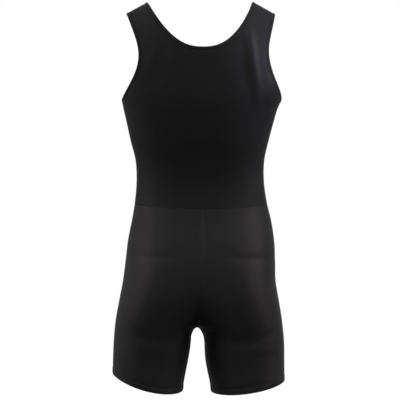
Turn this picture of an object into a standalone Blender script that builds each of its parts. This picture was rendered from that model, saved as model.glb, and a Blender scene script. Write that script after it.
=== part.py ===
"""Rowing unisuit: a sleeveless one-piece of stretch knit, filled out as if worn, with nobody in it.

Metres, +Z up. The origin is midway between the two straps, at the height where the neck opening
ends on the right shoulder seam. The back of the suit faces -Y and the wearer's left is -X.
Every piece is a wall of cloth with its edges 0.3 mm from the next piece.
"""

from collections import namedtuple

import bmesh
import bpy
import numpy as np

COLLECTION = "Rowing unisuit"
BACK, FRONT = 1, -1
LEFT, RIGHT = -1, 1
SIDE_NAMES = {LEFT: "left", RIGHT: "right"}

Knit = namedtuple("Knit", "name colour roughness")
BODICE_KNIT = Knit("Black knit of the bodice", (0.011, 0.011, 0.012), 0.55)
SHORTS_KNIT = Knit("Black knit of the shorts", (0.017, 0.015, 0.015), 0.50)
BINDING_KNIT = Knit("Black knit of the bindings", (0.012, 0.012, 0.013), 0.60)
HEM_KNIT = Knit("Black knit of the leg hems", (0.016, 0.015, 0.015), 0.55)

# Cloth and trims
CLOTH = 0.0015
SEAM_GAP = 0.0003
BINDING_WIDTH = 0.007
BINDING_LIFT = 0.0004  # each face of a binding stands this far out of the cloth beside it
HEM_DEPTH = 0.015
HEM_LIFT = 0.0005

# Shoulders: each strap's top is a line that falls away from this point beside the neck
Shoulder = namedtuple("Shoulder", "neck top slope")
SHOULDERS = {LEFT: Shoulder(0.1172, -0.0028, 0.545), RIGHT: Shoulder(0.1148, 0.0, 0.545)}
SHOULDER_FALL = 0.175  # height over which the cloth rounds from the shoulder line to its full depth
FULLNESS = 2.4  # 2 makes each section an ellipse, and more makes it squarer

# Half sections of the whole suit, from the shoulders down. Left and right are the half breadths
# from the centre line, and back, side and front are the y of those parts of the section.
Section = namedtuple("Section", "height centre left right back side front")
SECTIONS = (
    Section(0.070, 0.0000, 0.1850, 0.1850, -0.098, 0.000, 0.090),
    Section(0.000, 0.0000, 0.1850, 0.1850, -0.100, 0.000, 0.095),
    Section(-0.100, 0.0030, 0.1840, 0.1840, -0.106, 0.000, 0.107),
    Section(-0.160, 0.0048, 0.1800, 0.1800, -0.112, 0.002, 0.116),
    Section(-0.216, 0.0030, 0.1760, 0.1755, -0.114, 0.003, 0.119),
    Section(-0.238, 0.0013, 0.1700, 0.1680, -0.113, 0.004, 0.119),
    Section(-0.262, 0.0000, 0.1632, 0.1623, -0.110, 0.004, 0.117),
    Section(-0.306, -0.0010, 0.1525, 0.1515, -0.103, 0.005, 0.112),
    Section(-0.350, -0.0005, 0.1420, 0.1415, -0.092, 0.006, 0.106),
    Section(-0.390, 0.0000, 0.1403, 0.1400, -0.084, 0.006, 0.102),
    Section(-0.438, 0.0010, 0.1448, 0.1448, -0.083, 0.004, 0.102),
    Section(-0.482, 0.0010, 0.1520, 0.1548, -0.091, 0.001, 0.104),
    Section(-0.526, 0.0003, 0.1600, 0.1618, -0.106, -0.002, 0.104),
    Section(-0.570, -0.0020, 0.1628, 0.1659, -0.117, -0.004, 0.102),
    Section(-0.614, -0.0055, 0.1652, 0.1703, -0.121, -0.005, 0.099),
    Section(-0.658, -0.0095, 0.1695, 0.1817, -0.117, -0.004, 0.097),
    Section(-0.702, -0.0092, 0.1776, 0.1885, -0.106, -0.002, 0.095),
    Section(-0.746, -0.0066, 0.1841, 0.1905, -0.095, 0.000, 0.093),
    Section(-0.790, -0.0082, 0.1843, 0.1930, -0.087, 0.002, 0.089),
    Section(-0.870, -0.0076, 0.1855, 0.1928, -0.080, 0.003, 0.083),
)

# Neck opening: each scoop is a power curve from its lowest point up to the straps. Aside is how
# far its lowest point lies from the centre line.
Scoop = namedtuple("Scoop", "depth power aside")
SCOOPS = {BACK: Scoop(0.109, 2.41, -0.0030), FRONT: Scoop(0.165, 2.20, -0.0030)}

# Armholes: control points of one curve from the shoulder to the underarm, as the share of the
# half breadth at that height and the height
ArmPoint = namedtuple("ArmPoint", "share height")
ARM_TOP = ArmPoint(0.8865, -0.027)
UNDERARM = ArmPoint(1.0, -0.216)
ARMHOLES = {
    BACK: (ARM_TOP, ArmPoint(0.766, -0.109), ArmPoint(0.668, -0.122), UNDERARM),
    FRONT: (ARM_TOP, ArmPoint(0.700, -0.095), ArmPoint(0.600, -0.140), UNDERARM),
}

# Shorts above the fork, one row of cloth for each line: its height at the outer side and at the
# centre seams, how far out its fullest part lies, as a share of the half breadth, and how deep it
# still is at the centre seams, as a share of the full depth
Hip = namedtuple("Hip", "outer centre crest back_valley front_valley")
HIPS = (
    Hip(-0.448, -0.457, 0.00, 1.000, 1.00),
    Hip(-0.482, -0.495, 0.06, 1.000, 1.00),
    Hip(-0.516, -0.532, 0.14, 0.998, 1.00),
    Hip(-0.550, -0.568, 0.22, 0.993, 1.00),
    Hip(-0.584, -0.602, 0.29, 0.980, 0.99),
    Hip(-0.614, -0.634, 0.35, 0.955, 0.97),
    Hip(-0.642, -0.661, 0.40, 0.900, 0.92),
    Hip(-0.666, -0.683, 0.44, 0.800, 0.82),
    Hip(-0.686, -0.699, 0.47, 0.650, 0.66),
    Hip(-0.702, -0.710, 0.49, 0.440, 0.44),
    Hip(-0.715, -0.716, 0.50, 0.000, 0.00),
)

# Half the clear space between the legs, down from the fork
Space = namedtuple("Space", "height half")
SPACES = (
    Space(-0.7160, 0.0000),
    Space(-0.7185, 0.0048),
    Space(-0.7225, 0.0078),
    Space(-0.7335, 0.0130),
    Space(-0.7450, 0.0146),
    Space(-0.7670, 0.0165),
    Space(-0.7890, 0.0193),
    Space(-0.8110, 0.0235),
    Space(-0.8330, 0.0280),
    Space(-0.8700, 0.0330),
)

# Lower edges of the legs: the height of the hem outside and inside, and how much lower it is behind
Hem = namedtuple("Hem", "outer inner back_drop")
HEMS = {LEFT: Hem(-0.817, -0.854, 0.005), RIGHT: Hem(-0.8335, -0.8585, 0.002)}
HEM_CREST = 0.58  # how far out the fullest part of a leg lies at its hem, as a share of the half breadth

# Largest folds: soft troughs along a bent line seen from the back or the front, as x and height.
# They are deepest halfway along, and fade out near the side of the body.
FOLD_FADE = 0.03
Fold = namedtuple("Fold", "face start middle end reach depth")
FOLDS = (
    Fold(BACK, (0.010, -0.734), (0.075, -0.757), (0.170, -0.717), 0.013, 0.0040),
    Fold(BACK, (-0.020, -0.733), (-0.085, -0.748), (-0.180, -0.712), 0.013, 0.0030),
    Fold(BACK, (0.050, -0.554), (0.090, -0.566), (0.160, -0.558), 0.012, 0.0025),
    Fold(BACK, (-0.160, -0.556), (-0.100, -0.561), (-0.035, -0.558), 0.011, 0.0018),
    Fold(BACK, (0.080, -0.120), (0.095, -0.170), (0.107, -0.225), 0.016, 0.0030),
    Fold(BACK, (-0.077, -0.100), (-0.095, -0.150), (-0.111, -0.200), 0.015, 0.0025),
    Fold(FRONT, (0.045, -0.714), (0.095, -0.700), (0.160, -0.645), 0.016, 0.0026),
    Fold(FRONT, (-0.055, -0.714), (-0.105, -0.698), (-0.170, -0.640), 0.016, 0.0023),
)

# Rows and columns of the pieces
BODICE_ROWS = 28
SIDE_ROWS = 11  # rows that end on the side seam: the others end on the armhole
CENTRE_ROWS = 10  # rows that start on the centre line: the others start on the neck
HALF_COLUMNS = 11
WAIST_BEND = 2  # the waist row is level at the centre,
NECK_BEND = 0.85  # and the row from the foot of the neck leaves it steeply
HIP_ROWS = 14
LEG_ROWS = 9
ROW_CROWDING = 1.6  # more than 1 crowds the rows of a leg towards the fork
HALF_LEG_COLUMNS = 17
LEAST_INSIDE = 0.02  # share of the columns that lie inside the fullest part of the hip, at least
DENSE = 240  # points along an edge before it is divided
NEAR_SIDE = 1.2  # turn past which a point's y says more than its x
SETTLING = 4  # steps that bring a moved point back to the surface

SHARP_ANGLE = np.radians(40)
WELD = 1e-6


def smooth(knots, values, at):
    """A smooth curve through the values at the knots, which rise, read at any places."""
    knots = np.asarray(knots)
    values = np.asarray(values)
    slopes = np.gradient(values, knots)
    at = np.clip(at, knots[0], knots[-1])
    low = np.clip(np.searchsorted(knots, at) - 1, 0, len(knots) - 2)
    span = knots[low + 1] - knots[low]
    t = (at - knots[low]) / span
    start = values[low] * (1 + 2 * t) + slopes[low] * span * t
    end = values[low + 1] * (3 - 2 * t) - slopes[low + 1] * span * (1 - t)
    return start * (1 - t) ** 2 + end * t**2


def section(height):
    """The section at a height, or at each height of an array."""
    rising = np.array(SECTIONS)[::-1].T
    return Section(height, *(smooth(rising[0], column, height) for column in rising[1:]))


def space_between_legs(height):
    rising = np.array(SPACES)[::-1].T
    return smooth(rising[0], rising[1], height)


def lengths_along(points):
    steps = np.linalg.norm(np.diff(points, axis=0), axis=1)
    return np.concatenate([[0], np.cumsum(steps)])


def divided(points, parts):
    """Positions in a dense line of points that divide its length evenly."""
    length = lengths_along(points)
    return np.interp(np.linspace(0, length[-1], parts + 1), length, np.arange(len(points)))


def at_positions(values, positions):
    """Rows of an array read at positions that may lie between rows."""
    whole = np.arange(len(values))
    if values.ndim == 1:
        return np.interp(positions, whole, values)
    return np.stack([np.interp(positions, whole, column) for column in values.T], axis=1)


def folded(points):
    """The points moved in towards the middle of the body where a fold crosses them."""
    ring = section(points[..., 2])
    inward = np.stack([ring.centre - points[..., 0], ring.side - points[..., 1]], axis=-1)
    inward = inward / np.maximum(np.linalg.norm(inward, axis=-1, keepdims=True), WELD)
    seen = points[..., [0, 2]]
    moved = np.zeros(points.shape[:-1])
    for fold in FOLDS:
        t = np.linspace(0, 1, DENSE // 4)[:, None]
        line = (1 - t) ** 2 * np.array(fold.start) + 2 * t * (1 - t) * np.array(fold.middle)
        line = line + t**2 * np.array(fold.end)
        gaps = np.linalg.norm(seen[..., None, :] - line, axis=-1)
        along = t[np.argmin(gaps, axis=-1), 0]
        fade = np.sin(np.pi * along) * np.clip((ring.side - points[..., 1]) * fold.face / FOLD_FADE, 0, 1)
        gap = np.min(gaps, axis=-1)
        moved = moved + fold.depth * fade * np.exp(-((gap / fold.reach) ** 2))
    result = points.copy()
    result[..., :2] += inward * moved[..., None]
    return result


def shoulder_line(x):
    left, right = SHOULDERS[LEFT], SHOULDERS[RIGHT]
    on_left = left.top + (left.neck + x) * left.slope
    return np.where(x < 0, on_left, right.top + (right.neck - x) * right.slope)


def shoulder_rounding(x, height):
    """Square of the share of its full depth that the bodice has this far below the shoulder line."""
    fall = np.minimum((shoulder_line(x) - height) / SHOULDER_FALL, 1)
    return fall * (2 - fall)


def full_depth(ring, face):
    return ring.side - ring.back if face == BACK else ring.front - ring.side


def bodice_point(turn, height, face, seam=SEAM_GAP):
    """Outer surface of the bodice. Turn goes from -90 degrees at the left side to 90 at the right."""
    ring = section(height)
    x = ring.centre + np.where(turn < 0, ring.left, ring.right) * np.sin(turn)
    share = (1 - np.abs(np.sin(turn)) ** FULLNESS) * shoulder_rounding(x, height)
    depth = full_depth(ring, face) * np.sqrt(np.maximum(share, 0))
    y = ring.side - face * np.maximum(depth, seam / 2)
    return np.stack([x, y, height], axis=-1)


def bodice_level(points, face):
    """Below 0 inside the bodice's surface, 0 on it and above 0 outside it."""
    x, y, height = points[..., 0], points[..., 1], points[..., 2]
    ring = section(height)
    share = np.abs((x - ring.centre) / np.where(x < ring.centre, ring.left, ring.right))
    depth = (y - ring.side) / full_depth(ring, face)
    return depth**2 - (1 - share**FULLNESS) * shoulder_rounding(x, height)


def bodice_gradient(points, face, step=1e-6):
    shifts = np.eye(3) * step
    sides = [bodice_level(points + s, face) - bodice_level(points - s, face) for s in shifts]
    return np.stack(sides, axis=-1) / (2 * step)


def inset(points, tangents, hand, face, distance):
    """The points moved sideways over the cloth, away from an opening, and set back on its surface."""
    gradient = bodice_gradient(points, face)
    aside = np.cross(gradient, tangents) * hand
    moved = points + distance * aside / np.linalg.norm(aside, axis=1, keepdims=True)
    for _ in range(SETTLING):
        gradient = bodice_gradient(moved, face)
        level = bodice_level(moved, face)[:, None]
        moved = moved - gradient * level / np.sum(gradient**2, axis=1, keepdims=True)
    return moved


def turn_at(across, height):
    """Turn of a point this far to the right of the centre line."""
    ring = section(height)
    share = across / np.where(across < 0, ring.left, ring.right)
    return np.arcsin(np.clip(share, -1, 1))


def turns_of(points, face):
    """Turn of each point of the bodice's surface, from its x or, near the side seam, from its y."""
    ring = section(points[:, 2])
    from_x = turn_at(points[:, 0] - ring.centre, points[:, 2])
    depth = (points[:, 1] - ring.side) / full_depth(ring, face)
    share = np.maximum(1 - depth**2, 0) ** (1 / FULLNESS)
    return np.where(np.abs(from_x) > NEAR_SIDE, np.sign(from_x) * np.arcsin(share), from_x)


def neck_line(side, face):
    """Half of one scoop, dense, from its lowest point to the strap, with its tangents."""
    scoop, shoulder = SCOOPS[face], SHOULDERS[side]
    along = 1 - (1 - np.linspace(0, 1, DENSE)) ** 2
    height = (shoulder.top + scoop.depth) * along**scoop.power - scoop.depth
    across = side * shoulder.neck * along + scoop.aside * (1 - along**2)
    points = bodice_point(turn_at(across, height), height, face, 0)
    tangents = np.gradient(points, axis=0)
    tangents[0] = (side, 0, 0)
    tangents[-1] = (0, face, 0)
    return points, tangents, -face * side


def arm_line(side, face):
    """One side of an armhole, dense, from the underarm to the shoulder, with its tangents."""
    shoulder, upper, lower, underarm = (np.array(point) for point in ARMHOLES[face])
    t = ((1 + np.cos(np.linspace(0, np.pi, DENSE))) / 2)[:, None]
    line = (1 - t) ** 3 * shoulder + 3 * t * (1 - t) ** 2 * upper
    line = line + 3 * t**2 * (1 - t) * lower + t**3 * underarm
    turn = side * np.arcsin(np.clip(line[:, 0], 0, 1))
    points = bodice_point(turn, line[:, 1], face, 0)
    tangents = np.gradient(points, axis=0)
    tangents[0] = (0, -face, 0)
    tangents[-1] = (0, face, 0)
    return points, tangents, face * side


def panel_edge(line, side, face, rows):
    """Turn and height of the cut edge of the panel beside a binding, one for each row."""
    points, tangents, hand = line(side, face)
    cut = inset(points, tangents, hand, face, BINDING_WIDTH + SEAM_GAP)
    positions = divided(points, rows)
    turns = turns_of(cut, face)
    if line is arm_line:
        turns[0] = side * np.pi / 2
    return at_positions(turns, positions), at_positions(cut[:, 2], positions)


def half_bodice(side, face):
    """Grid of one half of a bodice panel, from the waist seam up, from its centre out."""
    neck_rows = BODICE_ROWS - CENTRE_ROWS
    arm_rows = BODICE_ROWS - SIDE_ROWS
    neck_turn, neck_height = panel_edge(neck_line, side, face, neck_rows)
    arm_turn, arm_height = panel_edge(arm_line, side, face, arm_rows)
    centre = np.linspace(HIPS[0].centre + SEAM_GAP / 2, neck_height[0], CENTRE_ROWS + 1)
    seam = np.linspace(HIPS[0].outer + SEAM_GAP / 2, arm_height[0], SIDE_ROWS + 1)
    middle_turn = np.linspace(0, neck_turn[0], CENTRE_ROWS + 1)
    inner_turn = np.concatenate([middle_turn[:-1], neck_turn])[:, None]
    inner_height = np.concatenate([centre[:-1], neck_height])[:, None]
    outer_turn = np.concatenate([np.full(SIDE_ROWS, side * np.pi / 2), arm_turn])[:, None]
    outer_height = np.concatenate([seam[:-1], arm_height])[:, None]
    turn = inner_turn + (outer_turn - inner_turn) * np.linspace(0, 1, HALF_COLUMNS + 1)
    across = (np.sin(turn) - np.sin(inner_turn)) / (np.sin(outer_turn) - np.sin(inner_turn))
    knots = (0, CENTRE_ROWS, BODICE_ROWS)
    bend = np.interp(np.arange(BODICE_ROWS + 1), knots, (WAIST_BEND, NECK_BEND, 1))[:, None]
    height = inner_height + (outer_height - inner_height) * across**bend
    height[-1] = shoulder_line(bodice_point(turn[-1], height[-1], face)[:, 0])
    return folded(bodice_point(turn, height, face))


def half_hip_line(side, face, hip, gap, drop):
    """Dense line over one face of one leg's cloth, from the centre seam or the inseam to the side."""
    valley = hip.back_valley if face == BACK else hip.front_valley
    end = max(1 - valley**2, 0) ** (1 / FULLNESS)
    angle = np.linspace(np.pi / 2, 0, DENSE // 2)
    inner_share = np.sin(angle)
    outward = np.concatenate([-end * inner_share, np.cos(angle)[1:]])
    rise = ((outward + end) / (1 + end)) ** 2
    height = hip.centre + (hip.outer - hip.centre) * rise
    height = height - face * drop * np.sqrt(1 - outward**2)
    ring = section(height)
    breadth = ring.left if side == LEFT else ring.right
    crest = breadth * hip.crest
    inner = crest - (crest - max(gap, SEAM_GAP / 2)) * np.pad(inner_share, (0, len(angle) - 1))
    away = np.where(outward > 0, crest + (breadth - crest) * outward, inner)
    depth = full_depth(ring, face) * np.sqrt(1 - np.abs(outward) ** FULLNESS)
    return np.stack([ring.centre + side * away, ring.side - face * depth, height], axis=-1)


def hip_row(side, hip, gap=0.0, drop=0.0):
    """One row of a leg's cloth, from centre back round the outer side to centre front.

    The crest's share of the columns lies inside it, so that each column runs straight down.
    """
    halves = []
    for face in (BACK, FRONT):
        line = half_hip_line(side, face, hip, gap, drop)
        length = lengths_along(line)
        knots = (0, max(hip.crest, LEAST_INSIDE), 1)
        wanted = np.linspace(0, 1, HALF_LEG_COLUMNS + 1)
        wanted = np.interp(wanted, knots, (0, length[DENSE // 2 - 1], length[-1]))
        halves.append(at_positions(line, np.interp(wanted, length, np.arange(len(line)))))
    return folded(np.concatenate([halves[0], halves[1][-2::-1]]))


def hip_rows(side):
    """Rows of the shorts from the waist seam down to the fork."""
    columns = np.array(HIPS).T
    places = np.linspace(0, len(HIPS) - 1, HIP_ROWS + 1)
    rows = [Hip(*(smooth(np.arange(len(HIPS)), column, place) for column in columns)) for place in places]
    rows[0] = HIPS[0]._replace(outer=HIPS[0].outer - SEAM_GAP / 2, centre=HIPS[0].centre - SEAM_GAP / 2)
    rows[-1] = HIPS[-1]
    return np.array([hip_row(side, hip) for hip in rows])


def leg_row(side, down, rise):
    """A closed row of the leg, this share of the way down from the fork to rise above the hem."""
    fork, hem = HIPS[-1], HEMS[side]
    outer = fork.outer + (hem.outer + rise - fork.outer) * down
    inner = fork.centre + (hem.inner + rise - fork.centre) * down
    crest = fork.crest + (HEM_CREST - fork.crest) * down
    ring = fork._replace(outer=outer, centre=inner, crest=crest)
    return hip_row(side, ring, space_between_legs(inner), hem.back_drop * down)


def leg_rows(side):
    """Rows of the leg below the fork, which crowd towards it."""
    shares = (np.arange(1, LEG_ROWS + 1) / LEG_ROWS) ** ROW_CROWDING
    return np.array([leg_row(side, share, HEM_DEPTH + SEAM_GAP) for share in shares])


def hem_rows(side):
    return np.array([leg_row(side, 1, rise) for rise in (HEM_DEPTH, HEM_DEPTH / 2, 0)])


def binding_ring(line, side):
    """Outer points of a binding: three lines across it, round the opening, from back to front."""
    rings = []
    for distance in (0, BINDING_WIDTH / 2, BINDING_WIDTH):
        ring = []
        for face in (BACK, FRONT):
            points, tangents, hand = line(side, face)
            rows = BODICE_ROWS - (CENTRE_ROWS if line is neck_line else SIDE_ROWS)
            strip = inset(points, tangents, hand, face, distance)
            strip = folded(at_positions(strip, divided(points, rows)))
            ring.append(strip if face == BACK else strip[-2::-1])
        rings.append(np.concatenate(ring))
    return np.array(rings)


def wall(name, grids, material, thickness=CLOTH, lift=0.0, seam_axis=None):
    """Makes grids of outer points into one closed piece of cloth, its thickness measured inwards.

    Grids that share a line are welded there. At a seam the wall's edge is cut square to the axis
    that seam_axis gives for its point, so that the next piece lies parallel to it.
    """
    mesh = bmesh.new()
    for grid in grids:
        rows = [[mesh.verts.new(point) for point in row] for row in grid]
        for upper, lower in zip(rows, rows[1:]):
            for corners in zip(upper, upper[1:], lower[1:], lower):
                mesh.faces.new(corners)
    bmesh.ops.remove_doubles(mesh, verts=mesh.verts, dist=WELD)
    bmesh.ops.recalc_face_normals(mesh, faces=mesh.faces)
    mesh.normal_update()
    skin = list(mesh.faces)
    rim = [edge.link_loops[0] for edge in mesh.edges if edge.is_boundary]
    rim = [(loop.vert, loop.link_loop_next.vert) for loop in rim]
    outwards = facing_out(mesh, skin)
    under = {}
    for vert in list(mesh.verts):
        normal = vert.normal * outwards
        axis = seam_axis(vert.co) if seam_axis else None
        if axis is not None:
            normal[axis] = 0
            normal.normalize()
        under[vert] = mesh.verts.new(vert.co - normal * (thickness - lift))
        vert.co += normal * lift
    for face in skin:
        mesh.faces.new([under[vert] for vert in reversed(face.verts)])
    for start, end in rim:
        mesh.faces.new((end, start, under[start], under[end]))
    bmesh.ops.recalc_face_normals(mesh, faces=mesh.faces)
    bmesh.ops.triangulate(mesh, faces=mesh.faces, quad_method="SHORT_EDGE")
    data = bpy.data.meshes.new(name)
    mesh.to_mesh(data)
    mesh.free()
    data.shade_smooth()
    data.set_sharp_from_angle(angle=SHARP_ANGLE)
    data.materials.append(material)
    piece = bpy.data.objects.new(name, data)
    bpy.data.collections[COLLECTION].objects.link(piece)


def facing_out(mesh, faces):
    """1 where the sheet's faces point away from the middle of the body, else -1."""
    total = 0.0
    for face in faces:
        middle = face.calc_center_median()
        ring = section(middle.z)
        away = ((middle.x - ring.centre) * face.normal.x + (middle.y - ring.side) * face.normal.y)
        total += away * face.calc_area()
    return 1 if total > 0 else -1


def side_or_shoulder_seam(point):
    """The y axis for a point on the side seam or the shoulder seam of the bodice."""
    return 1 if abs(point.y - section(point.z).side) < SEAM_GAP else None


def centre_seam(point):
    """The x axis for a point on the centre seams of the shorts."""
    return 0 if abs(point.x - section(point.z).centre) < SEAM_GAP else None


def knit_material(knit):
    material = bpy.data.materials.new(knit.name)
    material.use_nodes = True
    shader = material.node_tree.nodes["Principled BSDF"]
    shader.inputs["Base Color"].default_value = (*knit.colour, 1)
    shader.inputs["Roughness"].default_value = knit.roughness
    shader.inputs["Metallic"].default_value = 0
    return material


def clear_scene():
    for thing in list(bpy.data.objects):
        bpy.data.objects.remove(thing, do_unlink=True)


def bodice(material):
    for face, name in ((BACK, "bodice_back"), (FRONT, "bodice_front")):
        halves = [half_bodice(side, face) for side in (LEFT, RIGHT)]
        wall(name, halves, material, seam_axis=side_or_shoulder_seam)


def shorts(material):
    for side, name in SIDE_NAMES.items():
        rows = np.concatenate([hip_rows(side), leg_rows(side)])
        wall(f"shorts_{name}", [rows], material, seam_axis=centre_seam)


def bindings(material):
    thickness = CLOTH + 2 * BINDING_LIFT
    halves = [binding_ring(neck_line, side) for side in (LEFT, RIGHT)]
    wall("neck_binding", halves, material, thickness, BINDING_LIFT)
    for side, name in SIDE_NAMES.items():
        ring = binding_ring(arm_line, side)
        wall(f"armhole_binding_{name}", [ring], material, thickness, BINDING_LIFT)


def hems(material):
    for side, name in SIDE_NAMES.items():
        wall(f"leg_hem_{name}", [hem_rows(side)], material, CLOTH + 2 * HEM_LIFT, HEM_LIFT)


def main():
    clear_scene()
    bpy.context.scene.collection.children.link(bpy.data.collections.new(COLLECTION))
    bodice(knit_material(BODICE_KNIT))
    shorts(knit_material(SHORTS_KNIT))
    bindings(knit_material(BINDING_KNIT))
    hems(knit_material(HEM_KNIT))


main()
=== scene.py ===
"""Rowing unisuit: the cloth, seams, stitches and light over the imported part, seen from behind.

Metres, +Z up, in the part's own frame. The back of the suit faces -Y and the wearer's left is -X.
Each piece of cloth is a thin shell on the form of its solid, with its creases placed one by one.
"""

from collections import namedtuple

import bmesh
import bpy
import numpy as np
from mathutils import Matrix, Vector

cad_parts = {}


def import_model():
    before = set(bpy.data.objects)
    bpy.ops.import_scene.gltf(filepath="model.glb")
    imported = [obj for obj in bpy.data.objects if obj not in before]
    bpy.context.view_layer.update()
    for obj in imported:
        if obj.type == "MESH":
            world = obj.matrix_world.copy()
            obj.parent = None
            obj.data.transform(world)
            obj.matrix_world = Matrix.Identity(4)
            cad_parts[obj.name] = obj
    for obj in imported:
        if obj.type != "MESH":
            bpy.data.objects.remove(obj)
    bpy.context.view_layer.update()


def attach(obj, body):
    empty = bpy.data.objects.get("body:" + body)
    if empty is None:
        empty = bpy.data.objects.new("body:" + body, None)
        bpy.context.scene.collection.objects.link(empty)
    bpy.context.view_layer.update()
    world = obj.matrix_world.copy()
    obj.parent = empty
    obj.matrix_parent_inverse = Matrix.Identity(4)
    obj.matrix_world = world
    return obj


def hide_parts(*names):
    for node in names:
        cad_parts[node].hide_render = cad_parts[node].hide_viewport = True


BACK, FRONT = 1, -1
LEFT, RIGHT = -1, 1
SIDE_NAMES = {LEFT: "left", RIGHT: "right"}

# Cloth and trims
CLOTH = 0.0011  # thickness of the shells
SEAM_GAP = 0.0003  # between the solids, which the shells close
SEAM_LAP = 0.0001  # each edge runs past the waist seam's line by this, and lets no light through
BINDING_WIDTH = 0.007
HEM_DEPTH = 0.015

# Shoulders: each strap's top is a line that falls away from this point beside the neck
Shoulder = namedtuple("Shoulder", "neck top slope")
SHOULDERS = {LEFT: Shoulder(0.1172, -0.0028, 0.545), RIGHT: Shoulder(0.1148, 0.0, 0.545)}
SHOULDER_FALL = 0.175  # height over which the cloth rounds from the shoulder line to its full depth
FULLNESS = 2.4  # 2 makes each section an ellipse, and more makes it squarer

# Half sections of the whole suit, from the shoulders down. Left and right are the half breadths
# from the centre line, and back, side and front are the y of those parts of the section.
Section = namedtuple("Section", "height centre left right back side front")
SECTIONS = (
    Section(0.070, 0.0000, 0.1850, 0.1850, -0.098, 0.000, 0.090),
    Section(0.000, 0.0000, 0.1850, 0.1850, -0.100, 0.000, 0.095),
    Section(-0.100, 0.0030, 0.1840, 0.1840, -0.106, 0.000, 0.107),
    Section(-0.160, 0.0048, 0.1800, 0.1800, -0.112, 0.002, 0.116),
    Section(-0.216, 0.0030, 0.1760, 0.1755, -0.114, 0.003, 0.119),
    Section(-0.238, 0.0013, 0.1700, 0.1680, -0.113, 0.004, 0.119),
    Section(-0.262, 0.0000, 0.1632, 0.1623, -0.110, 0.004, 0.117),
    Section(-0.306, -0.0010, 0.1525, 0.1515, -0.103, 0.005, 0.112),
    Section(-0.350, -0.0005, 0.1420, 0.1415, -0.092, 0.006, 0.106),
    Section(-0.390, 0.0000, 0.1403, 0.1400, -0.084, 0.006, 0.102),
    Section(-0.438, 0.0010, 0.1448, 0.1448, -0.083, 0.004, 0.102),
    Section(-0.482, 0.0010, 0.1520, 0.1548, -0.091, 0.001, 0.104),
    Section(-0.526, 0.0003, 0.1600, 0.1618, -0.106, -0.002, 0.104),
    Section(-0.570, -0.0020, 0.1628, 0.1659, -0.117, -0.004, 0.102),
    Section(-0.614, -0.0055, 0.1652, 0.1703, -0.121, -0.005, 0.099),
    Section(-0.658, -0.0095, 0.1695, 0.1817, -0.117, -0.004, 0.097),
    Section(-0.702, -0.0092, 0.1776, 0.1885, -0.106, -0.002, 0.095),
    Section(-0.746, -0.0066, 0.1841, 0.1905, -0.095, 0.000, 0.093),
    Section(-0.790, -0.0082, 0.1843, 0.1930, -0.087, 0.002, 0.089),
    Section(-0.870, -0.0076, 0.1855, 0.1928, -0.080, 0.003, 0.083),
)

# Neck opening: each scoop is a power curve from its lowest point up to the straps. Aside is how
# far its lowest point lies from the centre line.
Scoop = namedtuple("Scoop", "depth power aside")
SCOOPS = {BACK: Scoop(0.109, 2.41, -0.0030), FRONT: Scoop(0.165, 2.20, -0.0030)}

# Armholes: control points of one curve from the shoulder to the underarm, as the share of the
# half breadth at that height and the height
ArmPoint = namedtuple("ArmPoint", "share height")
ARM_TOP = ArmPoint(0.8865, -0.027)
UNDERARM = ArmPoint(1.0, -0.216)
ARMHOLES = {
    BACK: (ARM_TOP, ArmPoint(0.766, -0.109), ArmPoint(0.668, -0.122), UNDERARM),
    FRONT: (ARM_TOP, ArmPoint(0.700, -0.095), ArmPoint(0.600, -0.140), UNDERARM),
}

# Shorts above the fork, one row of cloth for each line: its height at the outer side and at the
# centre seams, how far out its fullest part lies, as a share of the half breadth, and how deep it
# still is at the centre seams, as a share of the full depth
Hip = namedtuple("Hip", "outer centre crest back_valley front_valley")
HIPS = (
    Hip(-0.448, -0.457, 0.00, 1.000, 1.00),
    Hip(-0.482, -0.495, 0.06, 1.000, 1.00),
    Hip(-0.516, -0.532, 0.14, 0.998, 1.00),
    Hip(-0.550, -0.568, 0.22, 0.993, 1.00),
    Hip(-0.584, -0.602, 0.29, 0.980, 0.99),
    Hip(-0.614, -0.634, 0.35, 0.955, 0.97),
    Hip(-0.642, -0.661, 0.40, 0.900, 0.92),
    Hip(-0.666, -0.683, 0.44, 0.800, 0.82),
    Hip(-0.686, -0.699, 0.47, 0.650, 0.66),
    Hip(-0.702, -0.710, 0.49, 0.440, 0.44),
    Hip(-0.715, -0.716, 0.50, 0.000, 0.00),
)

# Half the clear space between the legs, down from the fork
Space = namedtuple("Space", "height half")
SPACES = (
    Space(-0.7160, 0.0000),
    Space(-0.7185, 0.0048),
    Space(-0.7225, 0.0078),
    Space(-0.7335, 0.0130),
    Space(-0.7450, 0.0146),
    Space(-0.7670, 0.0165),
    Space(-0.7890, 0.0193),
    Space(-0.8110, 0.0235),
    Space(-0.8330, 0.0280),
    Space(-0.8700, 0.0330),
)

# Lower edges of the legs: the height of the hem outside and inside, and how much lower it is behind
Hem = namedtuple("Hem", "outer inner back_drop")
HEMS = {LEFT: Hem(-0.817, -0.854, 0.005), RIGHT: Hem(-0.8335, -0.8585, 0.002)}
HEM_CREST = 0.58  # how far out the fullest part of a leg lies at its hem, as a share of the half breadth

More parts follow.
